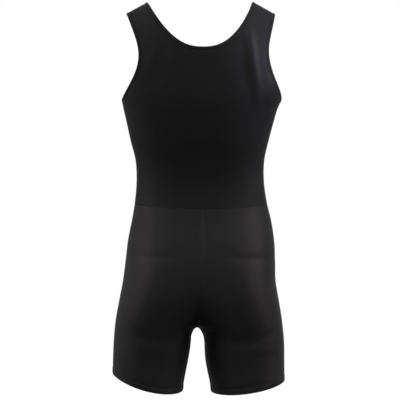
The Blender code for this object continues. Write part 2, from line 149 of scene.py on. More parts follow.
# Creases: soft troughs along a bent line seen from the back or the front, as x and height. A depth
# below 0 is a ridge. They are deepest halfway along, and fade out near the side of the body.
FOLD_FADE = 0.03
FOLD_STEPS = 13
FOLD_REACHES = 3  # a crease is read no further away than this many times its reach
Fold = namedtuple("Fold", "face start middle end reach depth")
FOLDS = (
    # Main creases, much as in the solids: seat, hips, shoulder blades and groin
    Fold(BACK, (0.010, -0.734), (0.075, -0.757), (0.170, -0.717), 0.013, 0.0034),
    Fold(BACK, (-0.020, -0.733), (-0.085, -0.748), (-0.180, -0.712), 0.014, 0.0024),
    Fold(BACK, (0.030, -0.556), (0.090, -0.572), (0.176, -0.564), 0.012, 0.0024),
    Fold(BACK, (-0.186, -0.556), (-0.105, -0.562), (-0.025, -0.560), 0.011, 0.0018),
    Fold(BACK, (0.080, -0.090), (0.092, -0.165), (0.108, -0.240), 0.017, 0.0014),
    Fold(BACK, (-0.077, -0.100), (-0.095, -0.150), (-0.111, -0.200), 0.015, 0.0025),
    Fold(FRONT, (0.045, -0.714), (0.095, -0.700), (0.160, -0.645), 0.016, 0.0026),
    Fold(FRONT, (-0.055, -0.714), (-0.105, -0.698), (-0.170, -0.640), 0.016, 0.0023),
    # Finer creases of the seat and legs behind
    Fold(BACK, (0.002, -0.724), (0.030, -0.741), (0.052, -0.743), 0.005, -0.0010),
    Fold(BACK, (0.055, -0.752), (0.110, -0.757), (0.160, -0.722), 0.006, 0.0012),
    Fold(BACK, (-0.018, -0.728), (-0.050, -0.737), (-0.098, -0.738), 0.005, -0.0009),
    Fold(BACK, (-0.168, -0.716), (-0.140, -0.736), (-0.110, -0.745), 0.006, 0.0010),
    Fold(BACK, (0.098, -0.766), (0.140, -0.764), (0.184, -0.760), 0.005, -0.0010),
    Fold(BACK, (0.105, -0.777), (0.140, -0.776), (0.180, -0.770), 0.005, 0.0008),
    # Hip creases behind, with the fuller cloth above them
    Fold(BACK, (0.038, -0.554), (0.082, -0.566), (0.170, -0.561), 0.004, 0.0012),
    Fold(BACK, (0.060, -0.542), (0.110, -0.550), (0.165, -0.546), 0.009, -0.0018),
    Fold(BACK, (-0.186, -0.556), (-0.110, -0.560), (-0.035, -0.558), 0.004, 0.0013),
    # Shoulder blades
    Fold(BACK, (-0.098, -0.095), (-0.112, -0.140), (-0.122, -0.190), 0.009, -0.0012),
    Fold(BACK, (0.098, -0.040), (0.103, -0.140), (0.124, -0.250), 0.012, -0.0040),
    # The hidden front: hips, groin and under the arms
    Fold(FRONT, (0.060, -0.560), (0.110, -0.566), (0.155, -0.556), 0.008, 0.0014),
    Fold(FRONT, (-0.155, -0.562), (-0.095, -0.570), (-0.050, -0.560), 0.008, 0.0012),
    Fold(FRONT, (0.020, -0.722), (0.060, -0.735), (0.120, -0.722), 0.008, 0.0012),
    Fold(FRONT, (-0.016, -0.724), (-0.065, -0.739), (-0.130, -0.730), 0.008, 0.0011),
    Fold(FRONT, (0.100, -0.190), (0.118, -0.230), (0.140, -0.262), 0.010, 0.0012),
    Fold(FRONT, (-0.098, -0.185), (-0.120, -0.226), (-0.138, -0.252), 0.010, 0.0013),
)

# Rows and columns of the shells, about six for each of the solids' rows
BODICE_ROWS = 168
SIDE_ROWS = 66  # rows that end on the side seam: the others end on the armhole
CENTRE_ROWS = 60  # rows that start on the centre line: the others start on the neck
HALF_COLUMNS = 52
WAIST_BEND = 2  # the waist row is level at the centre,
NECK_BEND = 0.85  # and the row from the foot of the neck leaves it steeply
HIP_ROWS = 84
LEG_ROWS = 34
ROW_CROWDING = 1.35  # more than 1 crowds the rows of a leg towards the fork
HALF_LEG_COLUMNS = 68
LEAST_INSIDE = 0.02  # share of the columns that lie inside the fullest part of the hip, at least
BINDING_STEPS = 110  # along each part of an opening
PATH_STEPS = 24  # along each path that is measured over the cloth
DENSE = 480  # points along an edge before it is divided
NEAR_SIDE = 1.2  # turn past which a point's y says more than its x
SETTLING = 4  # steps that bring a moved point back to the surface
PROBE = 1e-6  # distance over which the steepness of the surface is read
WELD = 1e-6  # points that are nearer than this are one point
SHARP_ANGLE = np.radians(50)

# Seams: the cloth rolls in beside its edge, as the distance from the edge and the dip there
SEAM_ROLL = ((0.0, 0.00060), (0.0004, 0.00042), (0.0010, 0.00018), (0.0018, 0.00005), (0.0030, 0.0))
WAIST_ROW = 0.0045  # rough length of cloth from one row to the next at the waist,
SHOULDER_ROW = 0.0019  # at the shoulder,
HIP_ROW = 0.036  # between two lines of the table of hips,
LEG_LENGTH = 0.110  # and all down a leg from the fork to the hem

# Cross-section of a binding, all the way round: distance from the opening's edge, and height over
# the cloth beside it
BINDING_PROFILE = (
    (0.0000, -0.00055),
    (0.00015, 0.00000),
    (0.0005, 0.00033),
    (0.0011, 0.00050),
    (0.0026, 0.00055),
    (0.0040, 0.00042),
    (0.0050, 0.00050),
    (0.0058, 0.00038),
    (0.0064, 0.00030),
    (0.0068, 0.00000),
    (0.0070, -0.00050),
    (0.0070, -0.00120),
    (0.0066, -0.00160),
    (0.0035, -0.00165),
    (0.0010, -0.00160),
    (0.0004, -0.00140),
    (0.0001, -0.00110),
)
# Cross-section of a turned hem: height over its lower edge, and height over the cloth
HEM_PROFILE = (
    (0.0150, -0.00070),
    (0.0148, -0.00010),
    (0.0143, 0.00030),
    (0.0134, 0.00050),
    (0.0122, 0.00030),
    (0.0111, 0.00055),
    (0.0100, 0.00035),
    (0.0088, 0.00065),
    (0.0060, 0.00075),
    (0.0030, 0.00070),
    (0.0014, 0.00050),
    (0.0005, 0.00010),
    (0.0000, -0.00060),
    (0.0004, -0.00130),
    (0.0014, -0.00180),
    (0.0060, -0.00200),
    (0.0140, -0.00200),
    (0.0150, -0.00150),
)
# Parts of the neck's edge in their order round it, and whether each runs up towards the strap
NECK_PARTS = ((RIGHT, BACK, True), (RIGHT, FRONT, False), (LEFT, FRONT, True), (LEFT, BACK, False))

# Stitches: round rows of thread, half sunk into the cloth
STITCH_LENGTH = 0.0026
STITCH_PITCH = 0.0032
STITCH_BODY = 0.5  # share of a stitch's length that has its full thickness
STITCH_END = 0.35  # thickness of its thin end, as a share of the full one
END_FACING = 0.9  # a face that looks along the thread by more than this is an end
THREAD_RADIUS = 0.00026
THREAD_SIDES = 5
THREAD_PROUD = 0.00008  # height of a row's middle over the panels
TRIM_PROUD = 0.0005  # and over the cloth under the bindings and hems
NECK_STITCHES = (0.0040, 0.0058)  # distance of each row from the opening's edge
HEM_STITCHES = (0.0122, 0.0100)  # height of each row over the lower edge
SEAM_STITCHES = 0.0024  # distance of a row from the seam beside it
WAIST_STITCHES = (0.0024, 0.0062)  # distance of each row below the waist seam
SIDE_SEAM_ROWS = 70  # rows of a bodice panel from the waist to just below its armhole
SHOULDER_TRIM = 4  # columns at each end of a shoulder seam that lie under the bindings
WAIST_TRIM = 2  # columns at each end of a leg's waist that lie in the centre seams

# Cuts: flat sizes of the pieces of cloth before they were sewn and stretched. An area of None is
# the whole strip.
Cut = namedtuple("Cut", "flat area")

# Knits, by what the eye gets from each
Knit = namedtuple("Knit", "name valley crest roughness specular sheen bump")
BODICE_KNIT = Knit("Black matt stretch knit of the bodice", "#0e0e0e", "#151515", 0.60, 0.32, 0.05, 0.35)
SHORTS_KNIT = Knit("Black satin stretch knit of the shorts", "#121010", "#1a1717", 0.55, 0.40, 0.06, 0.30)
BINDING_KNIT = Knit("Black folded stretch binding", "#0e0e0e", "#151515", 0.62, 0.30, 0.05, 0.45)
HEM_KNIT = Knit("Black doubled knit of the leg hems", "#121010", "#1a1717", 0.58, 0.38, 0.06, 0.40)
CLOTH_MAP = "Cloth"
# Loops are really about 0.4 mm wide, which is too fine to show, so they are drawn four times that
WALE = 0.0016
COURSE = 0.0014
LOOP_LEAN = 1.6  # how far each loop leans into a V
LOOP_SHARE = 0.35  # height of the loops on the ribs
KNIT_DEPTH = 0.00012
CLOUDS = 14.0  # per metre: clouds about 70 mm across
CLOUD_DETAIL = 3.0
FUZZ = 900.0  # per metre: fibre ends about 1 mm apart
FUZZ_DETAIL = 2.0
FUZZ_SHARE = 0.4  # strength of the fuzz beside the clouds
CLOUD_RANGE = (0.45, 0.95)  # what clouds and fuzz come to together
MIDDLE_TONE = 0.5  # halfway from the valley's colour to the crest's,
TONE_CHANGE = 0.35  # and how far the clouds move it
ROUGHNESS_CHANGE = 0.05
NYLON_IOR = 1.53
SHEEN_ROUGHNESS = 0.45
# Thread tones, paler than the cloth: partly the thread's own grey, partly painted highlight for the light
# lines that the rows of stitches catch
THREAD_TONES_AND_HIGHLIGHT = ("#3a3a3c", "#48484b")
THREAD_DETAIL = 1.0
THREAD_BUMP = 0.5
THREAD_ROUGHNESS = 0.55
THREAD_SHEEN = 0.05
POLYESTER_IOR = 1.57

# Studio
SKY = 0.52  # strength of the soft light from straight above, which falls to none from below
SKY_COLOUR = "#ffffff"
LIGHT_DISTANCE = 2.8
MIDDLE = (0, 0, -0.4)
RIGHT_SHOULDER = (0.13, -0.05, -0.09)
RIGHT_HIP = (0.16, -0.04, -0.66)
LEFT_HIP = (-0.14, -0.06, -0.60)
WIDE, NARROW = (1.1, 1.3), (0.35, 0.5)  # breadth and height
OPEN, GRIDDED = 180, 7  # spread in degrees, without and with a grid on the softbox
# Turn is in degrees from the camera's side, to the right as the camera sees it
Softbox = namedtuple("Softbox", "name turn height aim size spread watts colour")
LIGHTS = (
    Softbox("Right softbox, high", 62, 58, MIDDLE, WIDE, OPEN, 5.8, "#fdfdff"),
    Softbox("Left softbox, high", -80, 45, MIDDLE, WIDE, OPEN, 3.0, "#fffdfc"),
    Softbox("Left softbox, level", -96, 0, MIDDLE, WIDE, OPEN, 2.2, "#fffcfb"),
    Softbox("Left softbox, near the camera", -35, 15, MIDDLE, WIDE, OPEN, 0.7, "#ffffff"),
    Softbox("Right shoulder strip", 84, 20, RIGHT_SHOULDER, NARROW, GRIDDED, 0.19, "#e6e4ff"),
    Softbox("Right hip strip", 68, 17, RIGHT_HIP, NARROW, GRIDDED, 0.10, "#fff0ee"),
    Softbox("Left hip strip", -80, 18, LEFT_HIP, NARROW, GRIDDED, 0.065, "#fff0ee"),
    Softbox("Far softbox, for the hidden front", 180, 40, MIDDLE, WIDE, OPEN, 6.0, "#ffffff"),
)
LENS, SENSOR = 147.27, 36  # in millimetres
SHIFT = (-0.00125, 0.01511)  # as shares of the picture's width
CAMERA_PLACE = (-0.1884, -3.5951, -0.45)
CAMERA_TURN = np.radians(-3)


def smooth(knots, values, at):
    """A smooth curve through the values at the knots, which rise, read at any places."""
    knots = np.asarray(knots)
    values = np.asarray(values)
    slopes = np.gradient(values, knots)
    at = np.clip(at, knots[0], knots[-1])
    low = np.clip(np.searchsorted(knots, at) - 1, 0, len(knots) - 2)
    span = knots[low + 1] - knots[low]
    t = (at - knots[low]) / span
    start = values[low] * (1 + 2 * t) + slopes[low] * span * t
    end = values[low + 1] * (3 - 2 * t) - slopes[low + 1] * span * (1 - t)
    return start * (1 - t) ** 2 + end * t**2


def section(height):
    """The section at a height, or at each height of an array."""
    rising = np.array(SECTIONS)[::-1].T
    return Section(height, *(smooth(rising[0], column, height) for column in rising[1:]))


def space_between_legs(height):
    rising = np.array(SPACES)[::-1].T
    return smooth(rising[0], rising[1], height)


def lengths_along(points):
    steps = np.linalg.norm(np.diff(points, axis=0), axis=1)
    return np.concatenate([[0], np.cumsum(steps)])


def divided(points, parts):
    """Positions in a dense line of points that divide its length evenly."""
    length = lengths_along(points)
    return np.interp(np.linspace(0, length[-1], parts + 1), length, np.arange(len(points)))


def at_positions(values, positions):
    """Rows of an array read at positions that may lie between rows."""
    whole = np.arange(len(values))
    if values.ndim == 1:
        return np.interp(positions, whole, values)
    return np.stack([np.interp(positions, whole, column) for column in values.T], axis=1)


def from_line(seen, line):
    """Distance of each point from a bent line, and how far along the line its nearest place is."""
    best = np.full(len(seen), np.inf)
    along = np.zeros(len(seen))
    for number, (start, end) in enumerate(zip(line, line[1:])):
        run = end - start
        share = np.clip((seen - start) @ run / (run @ run), 0, 1)
        gap = np.linalg.norm(seen - start - share[:, None] * run, axis=1)
        nearer = gap < best
        best[nearer] = gap[nearer]
        along[nearer] = (number + share[nearer]) / (len(line) - 1)
    return best, along


def folded(points):
    """The points moved in towards the middle of the body where a crease crosses them."""
    result = points.reshape(-1, 3).copy()
    ring = section(result[:, 2])
    inward = np.stack([ring.centre - result[:, 0], ring.side - result[:, 1]], axis=-1)
    inward = inward / np.maximum(np.linalg.norm(inward, axis=-1, keepdims=True), WELD)
    seen = result[:, [0, 2]]
    moved = np.zeros(len(result))
    t = np.linspace(0, 1, FOLD_STEPS)[:, None]
    for fold in FOLDS:
        line = (1 - t) ** 2 * np.array(fold.start) + 2 * t * (1 - t) * np.array(fold.middle)
        line = line + t**2 * np.array(fold.end)
        depth = (ring.side - result[:, 1]) * fold.face
        far = FOLD_REACHES * fold.reach
        beside = (seen > line.min(axis=0) - far) & (seen < line.max(axis=0) + far)
        near = np.flatnonzero((depth > 0) & beside.all(axis=1))
        gap, along = from_line(seen[near], line)
        fade = np.sin(np.pi * along) * np.clip(depth[near] / FOLD_FADE, 0, 1)
        moved[near] += fold.depth * fade * np.exp(-((gap / fold.reach) ** 2))
    result[:, :2] += inward * moved[:, None]
    return result.reshape(points.shape)


def shoulder_line(x):
    left, right = SHOULDERS[LEFT], SHOULDERS[RIGHT]
    on_left = left.top + (left.neck + x) * left.slope
    return np.where(x < 0, on_left, right.top + (right.neck - x) * right.slope)


def shoulder_rounding(x, height):
    """Square of the share of its full depth that the bodice has this far below the shoulder line."""
    fall = np.minimum((shoulder_line(x) - height) / SHOULDER_FALL, 1)
    return fall * (2 - fall)


def full_depth(ring, face):
    return ring.side - ring.back if face == BACK else ring.front - ring.side


def bodice_point(turn, height, face):
    """Outer surface of the bodice. Turn goes from -90 degrees at the left side to 90 at the right."""
    ring = section(height)
    x = ring.centre + np.where(turn < 0, ring.left, ring.right) * np.sin(turn)
    share = (1 - np.abs(np.sin(turn)) ** FULLNESS) * shoulder_rounding(x, height)
    y = ring.side - face * full_depth(ring, face) * np.sqrt(np.maximum(share, 0))
    return np.stack([x, y, height], axis=-1)


def bodice_level(points, face):
    """Below 0 inside the bodice's surface, 0 on it and above 0 outside it."""
    x, y, height = points[..., 0], points[..., 1], points[..., 2]
    ring = section(height)
    share = np.abs((x - ring.centre) / np.where(x < ring.centre, ring.left, ring.right))
    depth = (y - ring.side) / full_depth(ring, face)
    return depth**2 - (1 - share**FULLNESS) * shoulder_rounding(x, height)


def bodice_gradient(points, face):
    shifts = np.eye(3) * PROBE
    sides = [bodice_level(points + s, face) - bodice_level(points - s, face) for s in shifts]
    return np.stack(sides, axis=-1) / (2 * PROBE)


def inset(points, tangents, hand, face, distance):
    """The points moved sideways over the cloth, away from an opening, and set back on its surface."""
    gradient = bodice_gradient(points, face)
    aside = np.cross(gradient, tangents) * hand
    moved = points + distance * aside / np.linalg.norm(aside, axis=1, keepdims=True)
    for _ in range(SETTLING):
        gradient = bodice_gradient(moved, face)
        level = bodice_level(moved, face)[:, None]
        moved = moved - gradient * level / np.sum(gradient**2, axis=1, keepdims=True)
    return moved


def turn_at(across, height):
    """Turn of a point this far to the right of the centre line."""
    ring = section(height)
    share = across / np.where(across < 0, ring.left, ring.right)
    return np.arcsin(np.clip(share, -1, 1))


def turns_of(points, face):
    """Turn of each point of the bodice's surface, from its x or, near the side seam, from its y."""
    ring = section(points[:, 2])
    from_x = turn_at(points[:, 0] - ring.centre, points[:, 2])
    depth = (points[:, 1] - ring.side) / full_depth(ring, face)
    share = np.maximum(1 - depth**2, 0) ** (1 / FULLNESS)
    return np.where(np.abs(from_x) > NEAR_SIDE, np.sign(from_x) * np.arcsin(share), from_x)


def neck_line(side, face):
    """Half of one scoop, dense, from its lowest point to the strap, with its tangents."""
    scoop, shoulder = SCOOPS[face], SHOULDERS[side]
    along = 1 - (1 - np.linspace(0, 1, DENSE)) ** 2
    height = (shoulder.top + scoop.depth) * along**scoop.power - scoop.depth
    across = side * shoulder.neck * along + scoop.aside * (1 - along**2)
    points = bodice_point(turn_at(across, height), height, face)
    tangents = np.gradient(points, axis=0)
    tangents[0] = (side, 0, 0)
    tangents[-1] = (0, face, 0)
    return points, tangents, -face * side


def arm_line(side, face):
    """One side of an armhole, dense, from the underarm to the shoulder, with its tangents."""
    shoulder, upper, lower, underarm = (np.array(point) for point in ARMHOLES[face])
    t = ((1 + np.cos(np.linspace(0, np.pi, DENSE))) / 2)[:, None]
    line = (1 - t) ** 3 * shoulder + 3 * t * (1 - t) ** 2 * upper
    line = line + 3 * t**2 * (1 - t) * lower + t**3 * underarm
    turn = side * np.arcsin(np.clip(line[:, 0], 0, 1))
    points = bodice_point(turn, line[:, 1], face)
    tangents = np.gradient(points, axis=0)
    tangents[0] = (0, -face, 0)
    tangents[-1] = (0, face, 0)
    return points, tangents, face * side


def panel_edge(line, side, face, rows):
    """Turn and height of the edge of the panel, which is tucked against a binding, for each row."""
    points, tangents, hand = line(side, face)
    cut = inset(points, tangents, hand, face, BINDING_WIDTH)
    positions = divided(points, rows)
    turns = turns_of(cut, face)
    if line is arm_line:
        turns[0] = side * np.pi / 2
    return at_positions(turns, positions), at_positions(cut[:, 2], positions)


def rolled_in(distance):
    """How far the cloth dips this far from a seam."""
    far, dips = np.array(SEAM_ROLL).T
    return np.interp(distance, far, dips)


def crowded(places, length, both):
    """Distances along a line of cloth for even places from 0 to 1, with more beside a seamed end."""
    near = np.array(SEAM_ROLL)[:, 0]
    room = length - near[-1] * (2 if both else 1)
    regular = near[-1] + room * places
    return np.concatenate([near[:-1], regular, length - near[-2::-1] if both else []])


def outward(grid, closed=False):
    """Unit normals of a grid of points, away from the middle of the body. Closed rows end as they start."""
    if closed:
        grid = np.concatenate([grid[:, -2:-1], grid, grid[:, 1:2]], axis=1)
    normals = np.cross(np.gradient(grid, axis=0), np.gradient(grid, axis=1))
    normals = normals / np.maximum(np.linalg.norm(normals, axis=-1, keepdims=True), WELD**2)
    ring = section(grid[..., 2])
    away = (grid[..., 0] - ring.centre) * normals[..., 0] + (grid[..., 1] - ring.side) * normals[..., 1]
    normals = normals * np.sign(np.sum(away))
    return normals[:, 1:-1] if closed else normals


def lengths_over(grid, axis):
    """Length of cloth along each line of a grid, from its first point."""
    steps = np.linalg.norm(np.diff(grid, axis=axis), axis=-1)
    start = np.zeros_like(np.take(steps, [0], axis=axis))
    return np.concatenate([start, np.cumsum(steps, axis=axis)], axis=axis)


def path_length(turns, heights, face):
    """Length of cloth along the paths that run over the first axis."""
    return np.linalg.norm(np.diff(bodice_point(turns, heights, face), axis=0), axis=-1).sum(axis=0)


def cloth_coordinates(turn, height, face):
    """Lengths of cloth round the body from the centre line and up it from the waist, in metres."""
    share = np.linspace(0, 1, PATH_STEPS)[:, None, None]
    level = np.broadcast_to(height, (PATH_STEPS, *height.shape))
    across = np.broadcast_to(turn, (PATH_STEPS, *turn.shape))
    rise = HIPS[0].centre + (height - HIPS[0].centre) * share
    around = np.sign(turn) * path_length(turn * share, level, face)
    return np.stack([around, path_length(across, rise, face)], axis=-1)


def bodice_rows():
    """Row numbers of a bodice panel from the waist seam up, with more beside both of its seams."""
    near = np.array(SEAM_ROLL)[1:-1, 0]
    first = near / WAIST_ROW
    last = BODICE_ROWS - near[::-1] / SHOULDER_ROW
    return np.concatenate([[0], first, np.arange(1, BODICE_ROWS - 1), last, [BODICE_ROWS]])


def half_bodice(side, face):
    """Points and cloth coordinates of one half of a bodice panel, from the waist up, centre out."""
    neck_turn, neck_height = panel_edge(neck_line, side, face, BODICE_ROWS - CENTRE_ROWS)
    arm_turn, arm_height = panel_edge(arm_line, side, face, BODICE_ROWS - SIDE_ROWS)
    centre = np.linspace(HIPS[0].centre, neck_height[0], CENTRE_ROWS + 1)
    seam = np.linspace(HIPS[0].outer, arm_height[0], SIDE_ROWS + 1)
    middle_turn = np.linspace(0, neck_turn[0], CENTRE_ROWS + 1)
    side_turn = np.full(SIDE_ROWS, side * np.pi / 2)
    rows = bodice_rows()
    inner_turn = at_positions(np.concatenate([middle_turn[:-1], neck_turn]), rows)[:, None]
    inner_height = at_positions(np.concatenate([centre[:-1], neck_height]), rows)[:, None]
    outer_turn = at_positions(np.concatenate([side_turn, arm_turn]), rows)[:, None]
    outer_height = at_positions(np.concatenate([seam[:-1], arm_height]), rows)[:, None]
    bend = np.interp(rows, (0, CENTRE_ROWS, BODICE_ROWS), (WAIST_BEND, NECK_BEND, 1))[:, None]

    def surface(places):
        turn = inner_turn + (outer_turn - inner_turn) * places
        across = (np.sin(turn) - np.sin(inner_turn)) / (np.sin(outer_turn) - np.sin(inner_turn))
        height = inner_height + (outer_height - inner_height) * across**bend
        height[-1] = shoulder_line(bodice_point(turn[-1], height[-1], face)[:, 0])
        return turn, height

    even = np.linspace(0, 1, HALF_COLUMNS + 1)
    along = lengths_over(bodice_point(*surface(np.tile(even, (len(rows), 1))), face), 1)
    places = [np.interp(crowded(even, row[-1], True), row, even) for row in along]
    turn, height = surface(np.array(places))
    grid = bodice_point(turn, height, face)
    up = lengths_over(grid, 0)
    along = lengths_over(grid, 1)
    from_neck = np.where((rows >= CENTRE_ROWS)[:, None], along, 1)
    nearest = np.minimum(np.minimum(up, up[-1] - up), np.minimum(along[:, -1:] - along, from_neck))
    grid = folded(grid)
    grid = grid - outward(grid) * rolled_in(nearest)[..., None]
    grid[0, :, 2] -= SEAM_LAP
    return grid, cloth_coordinates(turn, height, face)


def half_hip_line(side, face, hip, gap, drop):
    """Dense line over one face of one leg's cloth, from the centre seam or the inseam to the side."""
    valley = hip.back_valley if face == BACK else hip.front_valley
    end = max(1 - valley**2, 0) ** (1 / FULLNESS)
    angle = np.linspace(np.pi / 2, 0, DENSE // 2)
    inner_share = np.sin(angle)
    across = np.concatenate([-end * inner_share, np.cos(angle)[1:]])
    rise = ((across + end) / (1 + end)) ** 2
    height = hip.centre + (hip.outer - hip.centre) * rise
    height = height - face * drop * np.sqrt(1 - across**2)
    ring = section(height)
    breadth = ring.left if side == LEFT else ring.right
    crest = breadth * hip.crest
    inner = crest - (crest - gap) * np.pad(inner_share, (0, len(angle) - 1))
    away = np.where(across > 0, crest + (breadth - crest) * across, inner)
    depth = full_depth(ring, face) * np.sqrt(1 - np.abs(across) ** FULLNESS)
    return np.stack([ring.centre + side * away, ring.side - face * depth, height], axis=-1)


def hip_row(side, hip, gap=0.0, drop=0.0):
    """One row of a leg's cloth, from centre back round the outer side to centre front.

    The crest's share of the columns lies inside it, so that each column runs straight down.
    """
    halves = []
    for face in (BACK, FRONT):
        line = half_hip_line(side, face, hip, gap, drop)
        length = lengths_along(line)
        knots = (0, max(hip.crest, LEAST_INSIDE), 1)
        shares = (0, length[DENSE // 2 - 1] / length[-1], 1)
        places = np.interp(np.linspace(0, 1, HALF_LEG_COLUMNS + 1), knots, shares)
        wanted = crowded(places, length[-1], False)
        halves.append(at_positions(line, np.interp(wanted, length, np.arange(len(line)))))
    return np.concatenate([halves[0], halves[1][-2::-1]])


def hip_rows(side):
    """Rows of the shorts from the waist seam down to the fork, with more beside the waist."""
    columns = np.array(HIPS).T
    near = np.array(SEAM_ROLL)[:-1, 0] / HIP_ROW
    places = np.concatenate([near, np.linspace(SEAM_ROLL[-1][0] / HIP_ROW, len(HIPS) - 1, HIP_ROWS + 1)])
    rows = [Hip(*(smooth(np.arange(len(HIPS)), column, place) for column in columns)) for place in places]
    rows[0] = HIPS[0]
    rows[-1] = HIPS[-1]
    return np.array([hip_row(side, hip) for hip in rows])


def leg_row(side, down, rise):
    """A closed row of the leg, this share of the way down from the fork to rise above the hem."""
    fork, hem = HIPS[-1], HEMS[side]
    outer = fork.outer + (hem.outer + rise - fork.outer) * down
    inner = fork.centre + (hem.inner + rise - fork.centre) * down
    crest = fork.crest + (HEM_CREST - fork.crest) * down
    ring = fork._replace(outer=outer, centre=inner, crest=crest)
    return hip_row(side, ring, space_between_legs(inner), hem.back_drop * down)


def leg_rows(side):
    """Rows of the leg below the fork, with more beside the fork and the hem."""
    shares = (np.arange(1, LEG_ROWS + 1) / LEG_ROWS) ** ROW_CROWDING
    near = 1 - np.array(SEAM_ROLL)[-2::-1, 0] / LEG_LENGTH
    shares = np.concatenate([shares[shares < near[0] - SEAM_ROLL[-1][0] / LEG_LENGTH], near])
    return np.array([leg_row(side, share, HEM_DEPTH) for share in shares])


def shorts_leg(side):
    """Points and cloth coordinates of one leg of the shorts, round its outer side."""
    upper = hip_rows(side)
    grid = folded(np.concatenate([upper, leg_rows(side)]))
    down = lengths_over(grid, 0)
    along = lengths_over(grid, 1)
    beside = np.minimum(along, along[:, -1:] - along)
    nearest = np.minimum(np.minimum(down, down[-1] - down), beside)
    normals = outward(grid, closed=True)
    above_fork = len(upper) - 1
    normals[:above_fork] = outward(grid)[:above_fork]
    at_seam = beside[:above_fork] < SEAM_ROLL[-1][0]
    normals[:above_fork, :, 0] = np.where(at_seam, 0, normals[:above_fork, :, 0])
    normals = normals / np.maximum(np.linalg.norm(normals, axis=-1, keepdims=True), WELD)
    cloth = np.stack([along - along[:, [grid.shape[1] // 2]], -down], axis=-1)
    grid = grid - normals * rolled_in(nearest)[..., None]
    grid[0, :, 2] += SEAM_LAP
    return grid, cloth


def hem_line(side, rise, lift):
    """A closed line round a leg, this far above its lower edge and over the cloth."""
    rows = folded(np.array([leg_row(side, 1, rise), leg_row(side, 1, rise - SEAM_GAP)]))
    return rows[0] + outward(rows, closed=True)[0] * lift


def opening_line(line, parts, distance, lift):
    """A closed line round the neck or an armhole, this far from its edge and over the cloth."""
    ring = []
    for side, face, forwards in parts:
        points, tangents, hand = line(side, face)
        strip = inset(points, tangents, hand, face, distance)
        normals = bodice_gradient(strip, face)
        normals = normals / np.linalg.norm(normals, axis=1, keepdims=True)
        positions = divided(points, BINDING_STEPS)
        strip = folded(at_positions(strip, positions)) + at_positions(normals, positions) * lift
        ring.append(strip[:-1] if forwards else strip[:0:-1])
    ring.append(ring[0][:1])
    return np.concatenate(ring)


def rolled_strip(lines, profile):
    """Points and cloth coordinates of a strip with this closed cross-section."""
    across = lengths_along(np.array(profile))
    lines = np.array(lines)
    around = lengths_over(lines, 1)[:1]
    cloth = np.stack(np.broadcast_arrays(around, across[:, None]), axis=-1)
    closed = np.concatenate([cloth, cloth[-1:] + (0, WELD)])
    return np.concatenate([lines, lines[:1]]), closed


def deselect():
    bpy.ops.object.select_all(action="DESELECT")


def make_active(thing):
    deselect()
    thing.select_set(True)
    bpy.context.view_layer.objects.active = thing


def finish_with(thing, kind, **settings):
    """Adds a modifier, sets it and applies it."""
    make_active(thing)
    modifier = thing.modifiers.new(kind.title(), kind)
    for name, value in settings.items():
        setattr(modifier, name, value)
    bpy.ops.object.modifier_apply(modifier=modifier.name)


def facing_out(mesh):
    """Whether a sheet's faces point away from the middle of the body."""
    middles = np.array([face.calc_center_median() for face in mesh.faces])
    normals = np.array([face.normal for face in mesh.faces])
    ring = section(middles[:, 2])
    away = (middles[:, 0] - ring.centre) * normals[:, 0] + (middles[:, 1] - ring.side) * normals[:, 1]
    return np.sum(away) > 0


def cloth_piece(name, grids, material, shell):
    """Makes grids of points and cloth coordinates into one piece, welded where they share a line.

    A shell gets its thickness inwards. A closed strip has it already.
    """
    mesh = bmesh.new()
    layer = mesh.loops.layers.uv.new(CLOTH_MAP)
    for grid, cloth in grids:
        rows = [[mesh.verts.new(point) for point in row] for row in grid]
        for number in range(len(rows) - 1):
            upper, lower = rows[number], rows[number + 1]
            high, low = cloth[number], cloth[number + 1]
            for column in range(len(upper) - 1):
                after = column + 1
                face = mesh.faces.new((upper[column], upper[after], lower[after], lower[column]))
                places = (high[column], high[after], low[after], low[column])
                for loop, place in zip(face.loops, places):
                    loop[layer].uv = place
    bmesh.ops.remove_doubles(mesh, verts=mesh.verts, dist=WELD)
    bmesh.ops.recalc_face_normals(mesh, faces=mesh.faces)
    mesh.normal_update()
    if shell and not facing_out(mesh):
        bmesh.ops.reverse_faces(mesh, faces=mesh.faces)
    data = bpy.data.meshes.new(name)
    mesh.to_mesh(data)
    mesh.free()
    data.materials.append(material)
    piece = bpy.data.objects.new(name, data)
    bpy.context.scene.collection.objects.link(piece)
    if shell:
        finish_with(piece, "SOLIDIFY", thickness=CLOTH, offset=-1)
    make_active(piece)
    bpy.ops.object.shade_smooth_by_angle(angle=SHARP_ANGLE)
    return piece


def add(tree, kind, values=None, links=None, **settings):
    """A new node, with its settings, its own input values and the outputs linked to its inputs."""
    made = tree.nodes.new(kind)
    for name, value in settings.items():
        setattr(made, name, value)
    for name, value in (values or {}).items():
        made.inputs[name].default_value = value
    for name, output in (links or {}).items():
        tree.links.new(output, made.inputs[name])
    return made


def linear(hex_colour):
    """An sRGB hex colour as linear red, green, blue and 1."""
    parts = [int(hex_colour[start : start + 2], 16) / 255 for start in (1, 3, 5)]
    parts = [part / 12.92 if part <= 0.04045 else ((part + 0.055) / 1.055) ** 2.4 for part in parts]
    return (*parts, 1)


def new_material(name):
    """A material with its tree and its shader, which is linked to the output."""
    material = bpy.data.materials.new(name)
    material.use_nodes = True
    tree = material.node_tree
    return material, tree, tree.nodes["Principled BSDF"]


